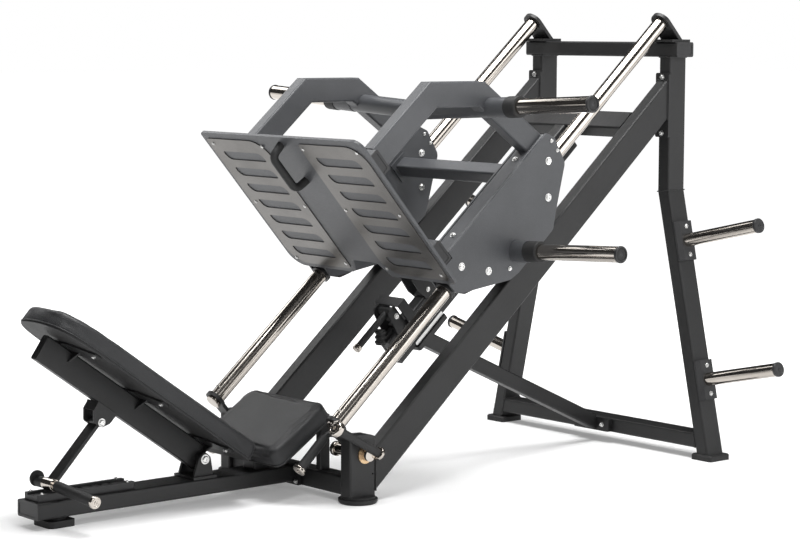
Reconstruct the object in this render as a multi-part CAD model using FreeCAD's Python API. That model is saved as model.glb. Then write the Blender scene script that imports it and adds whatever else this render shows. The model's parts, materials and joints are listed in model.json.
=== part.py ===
"""Inclined leg press: welded tube frame, sledge on two round rails, reclining
back support and two hand levers.  One STEP file per node, millimetres, +Z up.

X runs from the head end of the back support to the rear uprights, Y is the
width (+Y is the left of a person sitting in the machine) and Z = 0 is the
floor.  "Rail space" is (s, y, n): s along the rails going up, n square to
them, with the rail axes at n = 0.  "Back space" is (u, y, v) of the back
support: u towards the head, v out of the cushion, origin at its hinge.
"""
import math
import os

import FreeCAD
import Part

V = FreeCAD.Vector

# ---------------------------------------------------------------- dimensions
RAIL_DEG = 41.0            # slope of the rails
RAIL_FOOT_X = 602.0        # where the rail axes would meet the floor
RAIL_Y = 311.0             # half the distance between the rails
ROD_R = 25.0
ROD_S0, ROD_S1 = 364.0, 2224.0
TUBE_T = 3.5               # wall of the frame tubes
TUBE_R = 7.0               # outer corner radius of the frame tubes
BEAM_TOP, BEAM_BOT = -152.0, -252.0     # n of the sloping beams
BASE_Z0, BASE_Z1 = 31.0, 81.0           # base beam
BASE_HALF_Y = 55.0
TRACK_H = 21.0             # height of the rack on the base beam
POST_X0, POST_X1 = 924.0, 1024.0        # front posts
POST_Y0, POST_Y1 = 286.0, 336.0
UP_X0, UP_X1 = 2303.0, 2383.0           # rear uprights
KINK_Z = 896.0
TOP_Z = 1347.0
SPLAY = 0.2246             # sideways run per unit of height below the kink
PLATE_S = 948.0            # face of the foot plate at rest
SIDE_IN, SIDE_OUT = 268.0, 354.0        # sledge side plates
SIDE_T = 8.0
HINGE = (595.0, 139.0)     # back support hinge (x, z)
BACK_DEG = 35.0
STRUT_TOP = (236.0, 289.0)
STRUT_FOOT = (76.0, 121.5)
LOCK = (981.0, 150.0)      # safety lever shaft (x, z)
LOCK_SHAFT_R = 17.5
STOP_PIN = (912.0, -92.0)  # centre stop lever pivot (s, n)
SEAT_DEG = 32.6
SEAT_REF = (731.0, 162.0)  # lower front edge of the seat cushion top (x, z)
HORN_R = 25.0              # carriage horns
PEG_R = 22.5               # storage pegs
END_R = 24.5               # end discs of horns and pegs
HORN_TILT = 3.0            # carriage horns rise outwards
RUN = 0.06                 # radial clearance of turning fits
ORIGIN_X = 1196.0          # middle of the overall length

RAIL = FreeCAD.Placement(V(RAIL_FOOT_X, 0, 0),
                         FreeCAD.Rotation(V(0, 1, 0), -RAIL_DEG))
BACK = FreeCAD.Placement(V(HINGE[0], 0, HINGE[1]),
                         FreeCAD.Rotation(V(0, 0, 1), 180).multiply(
                             FreeCAD.Rotation(V(0, 1, 0), -BACK_DEG)))
SEAT = FreeCAD.Placement(V(SEAT_REF[0], 0, SEAT_REF[1]),
                         FreeCAD.Rotation(V(0, 1, 0), -SEAT_DEG))


# ------------------------------------------------------------------- helpers
def placed(shape, placement):
    """Copy of the shape carried by a placement."""
    out = shape.copy()
    out.Placement = placement.multiply(out.Placement)
    return out


def on_rail(shape):
    return placed(shape, RAIL)


def on_back(shape):
    return placed(shape, BACK)


def rail_point(s, n):
    """World (x, z) of a point in rail space."""
    a = math.radians(RAIL_DEG)
    x = RAIL_FOOT_X + s * math.cos(a) - n * math.sin(a)
    return x, s * math.sin(a) + n * math.cos(a)


def box(x0, x1, y0, y1, z0, z1):
    return Part.makeBox(x1 - x0, y1 - y0, z1 - z0, V(x0, y0, z0))


def long_edges(shape, axis):
    """Edges that run along one axis (0, 1 or 2)."""
    found = []
    for edge in shape.Edges:
        if len(edge.Vertexes) < 2:
            continue
        d = edge.Vertexes[-1].Point.sub(edge.Vertexes[0].Point)
        off = [abs(c) for i, c in enumerate((d.x, d.y, d.z)) if i != axis]
        if max(off) < 1e-6:
            found.append(edge)
    return found


def bar(x0, x1, y0, y1, z0, z1, axis, r=TUBE_R):
    """Solid bar with rounded long corners."""
    solid = box(x0, x1, y0, y1, z0, z1)
    return solid.makeFillet(r, long_edges(solid, axis))


def tube(x0, x1, y0, y1, z0, z1, axis, r=TUBE_R, t=TUBE_T):
    """Rectangular hollow section, open at both ends."""
    lo = [x0 + t, y0 + t, z0 + t]
    hi = [x1 - t, y1 - t, z1 - t]
    lo[axis] = (x0, y0, z0)[axis] - 1
    hi[axis] = (x1, y1, z1)[axis] + 1
    inner = bar(lo[0], hi[0], lo[1], hi[1], lo[2], hi[2], axis, max(r - t, 1.0))
    return bar(x0, x1, y0, y1, z0, z1, axis, r).cut(inner)


def cyl(r, p0, p1):
    """Cylinder between two points."""
    a = V(*p0)
    d = V(*p1).sub(a)
    return Part.makeCylinder(r, d.Length, a, d)


def ring(r_out, r_in, p0, p1):
    return cyl(r_out, p0, p1).cut(cyl(r_in, p0, p1))


def outline(points, radii):
    """Closed wire in the XY plane with rounded corners."""
    n = len(points)
    if not isinstance(radii, (list, tuple)):
        radii = [radii] * n
    ends = []
    arcs = []
    for i in range(n):
        p = V(points[i][0], points[i][1], 0)
        a = V(points[i - 1][0], points[i - 1][1], 0).sub(p)
        b = V(points[(i + 1) % n][0], points[(i + 1) % n][1], 0).sub(p)
        a.normalize()
        b.normalize()
        r = radii[i]
        if r <= 0:
            ends.append((p, p))
            arcs.append(None)
            continue
        half = math.acos(max(-1.0, min(1.0, a.dot(b)))) / 2
        d = r / math.tan(half)
        bis = a.add(b)
        bis.normalize()
        mid = p.add(bis.multiply(r / math.sin(half) - r))
        p0 = p.add(V(a).multiply(d))
        p1 = p.add(V(b).multiply(d))
        ends.append((p0, p1))
        arcs.append(mid)
    edges = []
    for i in range(n):
        if arcs[i] is not None:
            edges.append(Part.Arc(ends[i][0], arcs[i], ends[i][1]).toShape())
        nxt = ends[(i + 1) % n][0]
        if ends[i][1].sub(nxt).Length > 1e-4:
            edges.append(Part.makeLine(ends[i][1], nxt))
    return Part.Wire(edges)


def prism_z(points, z0, z1, radii=0):
    """Outline in XY, thickness along Z."""
    face = Part.Face(outline(points, radii))
    face.translate(V(0, 0, z0))
    return face.extrude(V(0, 0, z1 - z0))


def prism_y(points, y0, y1, radii=0):
    """Outline in XZ, thickness along Y."""
    solid = prism_z(points, -y1, -y0, radii)
    solid.rotate(V(0, 0, 0), V(1, 0, 0), 90)
    return solid


def prism_x(points, x0, x1, radii=0):
    """Outline in YZ, thickness along X."""
    solid = prism_z(points, x0, x1, radii)
    solid.rotate(V(0, 0, 0), V(1, 1, 1), 120)
    return solid


def mirror(shape):
    return shape.mirror(V(0, 0, 0), V(0, 1, 0))


def pair(shape):
    return [shape, mirror(shape)]


def ribbon(points, half):
    """Outline of a mitred strip that follows a path."""
    left = []
    right = []
    n = len(points)
    for i in range(n):
        dirs = []
        if i > 0:
            dirs.append(V(points[i][0] - points[i - 1][0],
                          points[i][1] - points[i - 1][1], 0).normalize())
        if i < n - 1:
            dirs.append(V(points[i + 1][0] - points[i][0],
                          points[i + 1][1] - points[i][1], 0).normalize())
        normals = [V(-d.y, d.x, 0) for d in dirs]
        m = normals[0]
        if len(normals) == 2:
            m = normals[0].add(normals[1]).normalize()
        k = half / m.dot(normals[0])
        left.append((points[i][0] + m.x * k, points[i][1] + m.y * k))
        right.append((points[i][0] - m.x * k, points[i][1] - m.y * k))
    return left + right[::-1]


def pipe(points, r, bend):
    """Round bar along a path with rounded bends."""
    vs = [V(*p) for p in points]
    edges = []
    start = vs[0]
    for i in range(1, len(vs) - 1):
        a = vs[i - 1].sub(vs[i]).normalize()
        b = vs[i + 1].sub(vs[i]).normalize()
        half = math.acos(a.dot(b)) / 2
        d = bend / math.tan(half)
        bis = a.add(b).normalize()
        p0 = vs[i].add(V(a).multiply(d))
        p1 = vs[i].add(V(b).multiply(d))
        mid = vs[i].add(bis.multiply(bend / math.sin(half) - bend))
        edges.append(Part.makeLine(start, p0))
        edges.append(Part.Arc(p0, mid, p1).toShape())
        start = p1
    edges.append(Part.makeLine(start, vs[-1]))
    d0 = vs[1].sub(vs[0])
    profile = Part.Wire([Part.makeCircle(r, vs[0], d0)])
    return Part.Wire(edges).makePipeShell([profile], True, True)


def bolt(p, d, r=8.0, h=6.0):
    """Washer and domed head standing on a surface at p, pointing along d."""
    p = V(*p)
    d = V(*d).normalize()
    washer = Part.makeCylinder(r * 1.35, 1.6, p, d)
    head = Part.makeCylinder(r, h, p.add(V(d).multiply(1.6)), d)
    tip = head.Edges[0] if head.Edges[0].Curve.TypeId.endswith("Circle") else head.Edges[1]
    for edge in head.Edges:
        if edge.Curve.TypeId.endswith("Circle"):
            if edge.Curve.Center.sub(p).Length > h:
                tip = edge
    head = head.makeChamfer(r * 0.25, [tip])
    socket = Part.makeCylinder(r * 0.42, h, p.add(V(d).multiply(1.6 + h * 0.55)), d)
    return washer.fuse(head).cut(socket)


def rail_bolt(s, y, n, d, r=8.0, h=6.0):
    return on_rail(bolt((s, y, n), d, r, h))


# --------------------------------------------------------------- lower frame
def base_beam():
    solid = tube(3, 926, -BASE_HALF_Y, BASE_HALF_Y, BASE_Z0, BASE_Z1, 0)
    return [solid]


def adjustment_track():
    """Notched rack on the base beam that carries the foot of the back strut."""
    base = box(12, 345, -38, 38, BASE_Z1, BASE_Z1 + TRACK_H)
    base = base.makeFillet(5, long_edges(base, 2))
    groove = box(0, 360, -20, 20, BASE_Z1 + 15, BASE_Z1 + 22)
    base = base.cut(groove)
    for k in range(6):
        x = 110.0 + 34.0 * k
        cut = box(x, x + 14, -20, 20, BASE_Z1 + 7, BASE_Z1 + 22)
        base = base.cut(cut)
    return [base]


def tip_foot():
    pad = bar(44, 134, -50, 50, 0, 20, 2, 16)
    neck = cyl(36, (89, 0, 20), (89, 0, BASE_Z0))
    return [pad.fuse(neck)]


def pivot_bracket():
    """Two ears, their foot plate and the hinge pin of the back support."""
    x, z = HINGE
    ear = [(x - 40, BASE_Z1 + 8), (x + 30, BASE_Z1 + 8), (x + 21, z + 6), (x, z + 24),
           (x - 21, z + 6)]
    one = prism_y(ear, 33, 43, [0, 0, 16, 12, 16])
    foot = box(x - 48, x + 38, -52, 52, BASE_Z1, BASE_Z1 + 8)
    pin = cyl(10, (x, -43, z), (x, 43, z))
    return [foot.fuse([one, mirror(one), pin])]


def front_crossbar():
    solid = tube(938, 998, -POST_Y0, POST_Y0, 21, 81, 1)
    return [solid]


def front_post():
    post = tube(POST_X0, POST_X1, POST_Y0, POST_Y1, 21, 198, 2)
    hole = cyl(21.0, (LOCK[0], POST_Y0 - 5, LOCK[1]), (LOCK[0], POST_Y1 + 5, LOCK[1]))
    small = cyl(3.0, (1012, POST_Y1 - 10, 88), (1012, POST_Y1 + 5, 88))
    return post, hole, small


def post_right():
    post, hole, small = front_post()
    return [mirror(post.cut(hole).cut(small))]


def post_left():
    post, hole, small = front_post()
    return [post.cut(small)]


def post_solid():
    return bar(POST_X0, POST_X1, POST_Y0, POST_Y1, 21, 198, 2)


def front_feet():
    """Round rubber feet under the front posts."""
    out = []
    for y in (RAIL_Y, -RAIL_Y):
        disc = Part.makeCone(56, 61, 6, V(974, y, 0))
        disc = disc.fuse(Part.makeCylinder(61, 8, V(974, y, 6)))
        disc = disc.fuse(Part.makeCylinder(53, 7, V(974, y, 14)))
        out.append(disc)
    return out


def main_beam():
    """Sloping beam from the front post to the flange on the rear upright."""
    solid = on_rail(tube(300, 2200, POST_Y0, POST_Y1, BEAM_BOT, BEAM_TOP, 0))
    solid = solid.cut(box(0, POST_X1 + 0.01, 200, 400, -200, 600))
    solid = solid.cut(box(UP_X0 - 10, 3000, 200, 400, 0, 2500))
    return solid


def joint_flanges():
    """Bolted flange plates where the sub-frames meet."""
    out = [box(926, 932, -75, 75, 22, 94), box(932, 938, -75, 75, 22, 94)]
    upper = box(UP_X0 - 10, UP_X0, 281, 341, 1078, 1294)
    upper = upper.makeFillet(6, long_edges(upper, 0))
    out += pair(upper)
    for x0 in (UP_X0 - 16, UP_X0 - 8):
        rear = box(x0, x0 + 8, -85, 85, 40, 86)
        out.append(rear.makeFillet(5, long_edges(rear, 0)))
    for n0 in (BEAM_BOT - 8, BEAM_BOT - 16):
        out.append(on_rail(bar(908, 1064, -36, 36, n0, n0 + 8, 2, 8)))
    return out


def upper_cross_member():
    return [on_rail(tube(1873, 1953, -POST_Y0, POST_Y0, BEAM_TOP - 50, BEAM_TOP, 1))]


def center_rail():
    return [on_rail(tube(836, 1873, -25, 25, BEAM_BOT, BEAM_TOP, 0))]


def wear_strip():
    points = [(912, -249), (1060, -249), (1060, -236), (912, -236)]
    return [on_rail(prism_y(points, -28.5, -25, [6, 2, 2, 6]))]


def rear_brace():
    """Sloping brace from the rear crossbar up to the centre rail."""
    a = math.radians(24.6)
    solid = tube(-60, 1100, -25, 25, -25, 25, 0)
    place = FreeCAD.Placement(V(2295, 0, 66),
                              FreeCAD.Rotation(V(0, 0, 1), 180).multiply(
                                  FreeCAD.Rotation(V(0, 1, 0), -math.degrees(a))))
    solid = placed(solid, place)
    solid = solid.cut(box(UP_X0 - 16, 3000, -100, 100, -100, 400))
    solid = solid.cut(on_rail(box(500, 1400, -100, 100, BEAM_BOT - 16, 300)))
    return [solid]


def upright_path():
    foot_y = RAIL_Y + SPLAY * (KINK_Z + 60)
    return [(RAIL_Y, TOP_Z), (RAIL_Y, KINK_Z), (foot_y, -60)]


def upright_solid():
    pts = ribbon(upright_path(), 25)
    solid = prism_x(pts, UP_X0, UP_X1)
    solid = solid.makeFillet(TUBE_R, [e for e in solid.Edges if sloping(e)])
    return solid.cut(box(UP_X0 - 50, UP_X1 + 50, 200, 800, -300, 12))


def sloping(edge):
    """True for the long corner edges of the bent uprights."""
    d = edge.Vertexes[-1].Point.sub(edge.Vertexes[0].Point)
    return abs(d.z) > 100


def rear_upright():
    inner = prism_x(ribbon([(RAIL_Y, TOP_Z + 20)] + upright_path()[1:], 25 - TUBE_T),
                    UP_X0 + TUBE_T, UP_X1 - TUBE_T)
    return upright_solid().cut(inner)


def rear_crossbar():
    solid = tube(UP_X0, UP_X1, -520, 520, 38, 88, 1)
    for part in pair(upright_solid()):
        solid = solid.cut(part)
    keep = box(UP_X0 - 5, UP_X1 + 5, -480, 480, 0, 200)
    return [solid.common(keep)]


def rear_feet():
    """Rubber boots on the splayed legs."""
    y = RAIL_Y + SPLAY * KINK_Z - 2
    pts = [(UP_X0 - 9, y - 45), (UP_X1 + 9, y - 45), (UP_X1 + 9, y + 45), (UP_X0 - 9, y + 45)]
    boot = prism_z(pts, 0, 20, 10)
    top = [e for e in boot.Edges if min(v.Z for v in e.Vertexes) > 19.9]
    boot = boot.makeChamfer(4, top).cut(upright_solid())
    return pair(boot)


def top_crossbar():
    return [tube(UP_X0, UP_X1, -364, 364, TOP_Z, TOP_Z + 50, 1)]


def plug(x0, x1, y0, y1, z0, z1, axis, out, flange=3.0):
    """Plastic plug: a face plate on the tube end with a shallow recess."""
    lo = [x0, y0, z0]
    hi = [x1, y1, z1]
    if out > 0:
        lo[axis] = hi[axis]
        hi[axis] = hi[axis] + flange
    else:
        hi[axis] = lo[axis]
        lo[axis] = lo[axis] - flange
    face = bar(lo[0], hi[0], lo[1], hi[1], lo[2], hi[2], axis, TUBE_R)
    for i in range(3):
        if i != axis:
            lo[i] += 8
            hi[i] -= 8
    if out > 0:
        lo[axis] = hi[axis] - 1.2
    else:
        hi[axis] = lo[axis] + 1.2
    return face.cut(bar(lo[0], hi[0], lo[1], hi[1], lo[2], hi[2], axis, 4))


def frame_tube_caps():
    out = [plug(3, 926, -BASE_HALF_Y, BASE_HALF_Y, BASE_Z0, BASE_Z1, 0, -1)]
    out.append(plug(UP_X0, UP_X1, -364, 364, TOP_Z, TOP_Z + 50, 1, 1))
    out.append(plug(UP_X0, UP_X1, -364, 364, TOP_Z, TOP_Z + 50, 1, -1))
    out.append(on_rail(plug(836, 1873, -25, 25, BEAM_BOT, BEAM_TOP, 0, -1)))
    cap = prism_y([(POST_X0 + 1, 198), (POST_X1 - 1, 198), (POST_X1 - 1, 203),
                   (POST_X1 - 20, 210), (POST_X0 + 34, 212), (POST_X0 + 1, 205)],
                  POST_Y0, POST_Y1, [0, 0, 3, 30, 30, 4])
    cap = cap.cut(on_rail(box(300, 386, 250, 380, -120, 60)))
    out += pair(cap)
    return out


# ----------------------------------------------------------------- rod mounts
def guide_rod():
    rod = on_rail(cyl(ROD_R, (ROD_S0, RAIL_Y, 0), (ROD_S1, RAIL_Y, 0)))
    return rod.makeChamfer(2, [e for e in rod.Edges if e.Curve.TypeId.endswith("Circle")])


def rod_hole(s0, s1):
    return cyl(ROD_R, (s0, RAIL_Y, 0), (s1, RAIL_Y, 0))


def rod_lower_brackets():
    """Round-topped plates welded to the post tops that hold the lower rod ends."""
    plate = cyl(34, (374, RAIL_Y, 0), (386, RAIL_Y, 0))
    plate = plate.fuse(box(374, 386, POST_Y0, POST_Y1, -80, 0))
    plate = on_rail(plate.cut(rod_hole(300, 500)))
    plate = plate.cut(post_solid())
    return pair(plate)


def rod_top_brackets():
    """Plates on the top crossbar that hold the upper rod ends."""
    plate = cyl(37, (ROD_S1, RAIL_Y, 0), (ROD_S1 + 12, RAIL_Y, 0))
    points = [(RAIL_Y - 37, 0), (RAIL_Y - 44, -110), (RAIL_Y + 44, -110), (RAIL_Y + 37, 0)]
    plate = plate.fuse(prism_x(points, ROD_S1, ROD_S1 + 12))
    plate = on_rail(plate)
    plate = plate.cut(box(2000, 2600, 200, 500, 1200, TOP_Z + 58))
    base = box(2292, UP_X1, RAIL_Y - 44, RAIL_Y + 44, TOP_Z + 50, TOP_Z + 59)
    base = base.makeFillet(6, long_edges(base, 2))
    return pair(plate.fuse(base))


# --------------------------------------------------------------- storage pegs
def peg_frame(z):
    """Placement on the outer face of the left splayed leg: local +Z is outwards."""
    y = RAIL_Y + 25 / math.cos(math.atan(SPLAY)) + SPLAY * (KINK_Z - z)
    tilt = math.degrees(math.atan(SPLAY))
    turn = FreeCAD.Rotation(V(1, 0, 0), -90 + tilt)
    return FreeCAD.Placement(V((UP_X0 + UP_X1) / 2, y, z), turn)


PEG_Z = (728.0, 266.0)


def storage_brackets():
    """Cast blocks with bevelled sides bolted to the outer leg faces."""
    out = []
    for z in PEG_Z:
        block = box(-41, 41, -67, 67, 0, 20)
        block = block.makeChamfer(13, [e for e in long_edges(block, 1)
                                       if e.BoundBox.ZMin > 10])
        out += pair(placed(block, peg_frame(z)))
    return out


def storage_horns():
    out = []
    for z in PEG_Z:
        peg = cyl(PEG_R, (0, 0, 20), (0, 0, peg_length(z)))
        out += pair(placed(peg, peg_frame(z)))
    return out


def peg_length(z):
    """Upper pegs reach a little further from the leg than the lower ones."""
    return 330 if z > 500 else 322


def storage_horn_caps():
    out = []
    for z in PEG_Z:
        top = peg_length(z)
        cap = cyl(END_R, (0, 0, top), (0, 0, top + 12))
        cap = cap.makeFillet(3, [e for e in cap.Edges if e.Curve.TypeId.endswith("Circle")])
        out += pair(placed(cap, peg_frame(z)))
    return out


# ---------------------------------------------------------------- seat, grips
def seat_support():
    """Cushion board on three short posts."""
    board = box(8, 246, -165, 165, -66, -60)
    board = placed(board, SEAT)
    front = bar(790, 850, -30, 30, BASE_Z1, 260, 2, 5)
    rear = bar(946, 984, -163, -138, BASE_Z1, 330, 2, 5)
    rear2 = bar(946, 984, 138, 163, BASE_Z1, 330, 2, 5)
    posts = front.fuse([rear, rear2])
    above = placed(box(-500, 800, -300, 300, -60, 600), SEAT)
    posts = posts.cut(above)
    web = placed(box(30, 240, -12, 12, -92, -60.01), SEAT)
    return [posts.fuse([board, web])]


def seat_pad():
    pts = [(0, -200), (256, -196), (256, 196), (0, 200)]
    pad = prism_z(pts, -60, 0, [30, 46, 46, 30])
    pad = pad.makeFillet(13, pad.Edges)
    return [placed(pad, SEAT)]


GRIP_Y = 232.0
GRIP_TOP = (930.0, 218.0)
GRIP_END = (815.0, 113.0)


def grip_dir():
    dx = GRIP_END[0] - GRIP_TOP[0]
    dz = GRIP_END[1] - GRIP_TOP[1]
    k = math.hypot(dx, dz)
    return dx / k, dz / k


def side_handles():
    """Bent bars beside the seat, welded to the inner faces of the front posts."""
    path = [(952, 300, 172), (GRIP_TOP[0], GRIP_Y, GRIP_TOP[1]),
            (GRIP_END[0], GRIP_Y, GRIP_END[1])]
    return pair(pipe(path, 10, 24).cut(post_solid()))


def side_handle_caps():
    dx, dz = grip_dir()
    end = (GRIP_END[0] + dx * 13, GRIP_Y, GRIP_END[1] + dz * 13)
    cap = cyl(21, (GRIP_END[0], GRIP_Y, GRIP_END[1]), end)
    cap = cap.makeFillet(4, [e for e in cap.Edges if e.Curve.TypeId.endswith("Circle")])
    return pair(cap)


def side_grips():
    dx, dz = grip_dir()
    a = (GRIP_END[0] - dx * 0.5, GRIP_Y, GRIP_END[1] - dz * 0.5)
    b = (GRIP_END[0] - dx * 124, GRIP_Y, GRIP_END[1] - dz * 124)
    sleeve = ring(15, 10.0, a, b)
    return pair(sleeve)


# ----------------------------------------------------------- levers and stops
def lock_bushing():
    """Bronze bush of the safety lever in the right front post."""
    x, z = LOCK
    body = cyl(21, (x, -POST_Y0 + 4, z), (x, -POST_Y1, z))
    rim = cyl(27, (x, -POST_Y1, z), (x, -POST_Y1 - 4, z))
    bore = cyl(LOCK_SHAFT_R + RUN, (x, -200, z), (x, -400, z))
    return [body.fuse(rim).cut(bore)]


LEVER_DEG = 150.6
LEVER_Y = -366.0
LEVER_RISE = 19.0            # offset of the bar axis from the shaft axis


def lever_point(r):
    a = math.radians(LEVER_DEG)
    x = LOCK[0] + r * math.cos(a) + LEVER_RISE * math.sin(a)
    z = LOCK[1] + r * math.sin(a) - LEVER_RISE * math.cos(a)
    return x, LEVER_Y, z


def safety_lever():
    """Shaft through the right post with its arm, end cap and rear ring."""
    x, z = LOCK
    shaft = cyl(LOCK_SHAFT_R, (x, -190, z), (x, LEVER_Y + 4, z))
    arm = cyl(8, lever_point(-30), lever_point(160))
    cap = cyl(25, lever_point(154), lever_point(176))
    cap = cap.makeFillet(6, [e for e in cap.Edges if e.Curve.TypeId.endswith("Circle")])
    back = cyl(20, lever_point(-30), lever_point(-20))
    back = back.makeFillet(2, [e for e in back.Edges if e.Curve.TypeId.endswith("Circle")])
    knob = cyl(23, (x, -206, z), (x, -190, z))
    knob = knob.makeFillet(4, [e for e in knob.Edges if e.Curve.TypeId.endswith("Circle")])
    return [shaft.fuse([arm, cap, back, knob])]


def lever_grip():
    sleeve = ring(12.5, 8.0, lever_point(-19.5), lever_point(153.5))
    x, z = LOCK
    return [sleeve.cut(cyl(LOCK_SHAFT_R + 0.5, (x, -200, z), (x, LEVER_Y + 3.5, z)))]


def stop_bracket():
    """Saddle over the centre rail with two lugs for the stop lever, a ribbed
    rubber bumper below it and a second saddle further up the rail."""
    s, n = STOP_PIN
    top = box(922, 958, -59, 59, -76, -71)
    flank = prism_y([(922, -71), (958, -71), (958, -204), (922, -204)], 54, 59, [4, 4, 8, 8])
    spacer = box(926, 954, 25, 54, -196, -166)
    lug = prism_y([(888, -71), (922, -71), (922, -204), (896, -204), (871, -160)], 34, 40,
                  [16, 2, 2, 6, 12])
    tie = box(896, 922, 25, 34, -196, -166)
    pin = cyl(7, (s, -40, n), (s, 40, n))
    one = flank.fuse([spacer, lug, tie, box(916, 930, 36, 58, -200, -160)])
    body = top.fuse([one, mirror(one), pin])
    body = body.fuse(box(900, 950, -30, 30, BEAM_TOP, BEAM_TOP + 6))
    body = body.fuse([box(900, 950, 25, 30, -170, BEAM_TOP + 6),
                      box(900, 950, -30, -25, -170, BEAM_TOP + 6)])
    second = prism_y([(1036, -70), (1100, -70), (1100, -180), (1046, -180), (1032, -125)],
                     25, 31, [4, 4, 4, 10, 8])
    second = second.fuse([mirror(second), box(1040, 1100, -31, 31, BEAM_TOP, BEAM_TOP + 6)])
    return [on_rail(body), on_rail(second)]


def stop_bumper():
    """Three-lobed rubber bumper under the stop saddle."""
    x, z = rail_point(842, -128)
    out = cyl(15, (x, 0, z + 16), (x, 0, z - 34))
    for k in range(3):
        lobe = cyl(19, (x, 0, z + 12 - 16 * k), (x, 0, z + 2 - 16 * k))
        edges = [e for e in lobe.Edges if e.Curve.TypeId.endswith("Circle")]
        out = out.fuse(lobe.makeFillet(4, edges))
    strap = on_rail(box(838, 880, -10, 10, BEAM_TOP, BEAM_TOP + 8))
    out = out.fuse(strap)
    return [out.cut(on_rail(box(832, 1400, -25.2, 25.2, BEAM_BOT - 5,
                             BEAM_TOP)))]


def stop_lever():
    """Hub and black hand bar of the centre stop."""
    s, n = STOP_PIN
    hub = cyl(15, (s, -30, n), (s, 30, n))
    hand = cyl(11, (s - 6, 0, n), (s - 158, 0, n))
    pawl = prism_y([(s - 12, n), (s + 10, n), (s + 8, n - 30), (s - 4, n - 42), (s - 16, n - 30)],
                   -12, 12, [0, 0, 6, 8, 6])
    body = hub.fuse([hand, pawl])
    bore = cyl(7 + RUN, (s, -60, n), (s, 60, n))
    return [on_rail(body.cut(bore))]


def stop_lever_cap():
    s, n = STOP_PIN
    cap = cyl(14, (s - 158, 0, n), (s - 176, 0, n))
    cap = cap.makeFillet(4, [e for e in cap.Edges if e.Curve.TypeId.endswith("Circle")])
    return [on_rail(cap)]


# -------------------------------------------------------------------- sledge
def foot_plate():
    pts = [(404, 42), (404, 640), (-404, 640), (-404, 42), (-96, 42), (-62, 100),
           (62, 100), (96, 42)]
    plate = prism_x(pts, PLATE_S, PLATE_S + 9, [58, 14, 34, 20, 8, 14, 14, 8])
    return [on_rail(plate)]


INSERT_Y = (92.0, 388.0)
INSERT_N = (60.0, 617.0)


def foot_grip(side):
    """Brushed tread plate with seven teardrop slots."""
    a, b = INSERT_Y
    if side < 0:
        a, b = -b, -a
    n0, n1 = INSERT_N
    pts = [(b, n0), (b, n1), (a, n1), (a, n0)]
    plate = prism_x(pts, PLATE_S - 3, PLATE_S, [70, 14, 70, 14])
    mid = (a + b) / 2
    for k in range(7):
        n = 546.0 - 71.0 * k
        slot = [(mid + 101, n - 18), (mid + 101, n + 18), (mid - 101, n + 18),
                (mid - 101, n - 18)]
        plate = plate.cut(prism_x(slot, PLATE_S - 5, PLATE_S + 1, [26, 6, 26, 6]))
    return [on_rail(plate)]


HANDLE_R = 13.0              # grab handle on the foot plate


def footplate_handle():
    """Rubber coated grab handle between the two tread plates."""
    s = PLATE_S
    path = [(s + 8, 0, 608), (s - 50, 0, 601), (s - 50, 0, 463), (s + 8, 0, 455)]
    grab = pipe(path, HANDLE_R, 24)
    return [on_rail(grab.cut(box(s, s + 60, -50, 50, 300, 700)))]


CROSS_LOW = (86.0, 166.0)
CROSS_HIGH = (466.0, 546.0)


def carriage_crosstubes():
    """Two tubes behind the foot plate and the square bar between the sides."""
    s0 = PLATE_S + 9
    out = []
    for n0, n1 in (CROSS_LOW, CROSS_HIGH):
        out.append(on_rail(tube(s0, s0 + 60, -350, 350, n0, n1, 1)))
    out.append(on_rail(tube(1397, 1447, -SIDE_IN + 6, SIDE_IN - 6, 30, 80, 1)))
    for y0, y1 in ((SIDE_IN - 6, SIDE_IN), (-SIDE_IN, -SIDE_IN + 6)):
        out.append(on_rail(box(1384, 1460, y0, y1, 18, 92)))
    return out


def carriage_tube_caps():
    s0 = PLATE_S + 9
    out = []
    for n0, n1 in (CROSS_LOW, CROSS_HIGH):
        for side in (1, -1):
            out.append(on_rail(plug(s0, s0 + 60, -350, 350, n0, n1, 1, side, 4)))
    return out


def side_plates():
    """Outer and inner cheek of one side of the sledge, seen along Y."""
    s0 = PLATE_S + 9
    outer = [(s0, -6), (s0, 84), (1019, 84), (1019, 107), (1567, 107), (1584, 72),
             (1567, -22), (1440, -111), (1389, -150), (1190, -150), (1148, -141),
             (980, -31)]
    radii = [3, 2, 2, 3, 10, 16, 30, 40, 26, 50, 40, 26]
    inner = [(s0, -6), (s0, 84), (1019, 84), (1019, 107), (1567, 107), (1584, 72),
             (1567, -22), (1440, -108), (1392, -140), (1190, -140), (1148, -132),
             (984, -31)]
    out = [on_rail(prism_y(outer, SIDE_OUT - SIDE_T, SIDE_OUT, radii))]
    out.append(on_rail(prism_y(inner, SIDE_IN, SIDE_IN + SIDE_T, radii)))
    return out


def lower_rails():
    solid = tube(1019, 1560, SIDE_IN + SIDE_T, SIDE_OUT - SIDE_T, 55, 107, 0)
    return pair(on_rail(solid))


FRAME_PATH = [(1017.0, 506.0), (1303.0, 506.0), (1453.0, 375.0), (1519.0, 107.0)]


def upper_frame(hollow=True):
    """Mitred tube frame from the upper cross tube down to the lower rail."""
    a = FRAME_PATH[-1]
    b = FRAME_PATH[-2]
    k = 1.25
    tail = (b[0] + (a[0] - b[0]) * k, b[1] + (a[1] - b[1]) * k)
    path = FRAME_PATH[:-1] + [tail]
    solid = prism_y(ribbon(path, 40), POST_Y0, POST_Y1)
    solid = solid.makeFillet(TUBE_R, [e for e in solid.Edges if level_edge(e)])
    if hollow:
        first = (path[0][0] - 20, path[0][1])
        core = prism_y(ribbon([first] + path[1:], 40 - TUBE_T),
                       POST_Y0 + TUBE_T, POST_Y1 - TUBE_T)
        solid = solid.cut(core)
    solid = solid.cut(box(900, 1900, 200, 400, -50, 107))
    return solid


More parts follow.
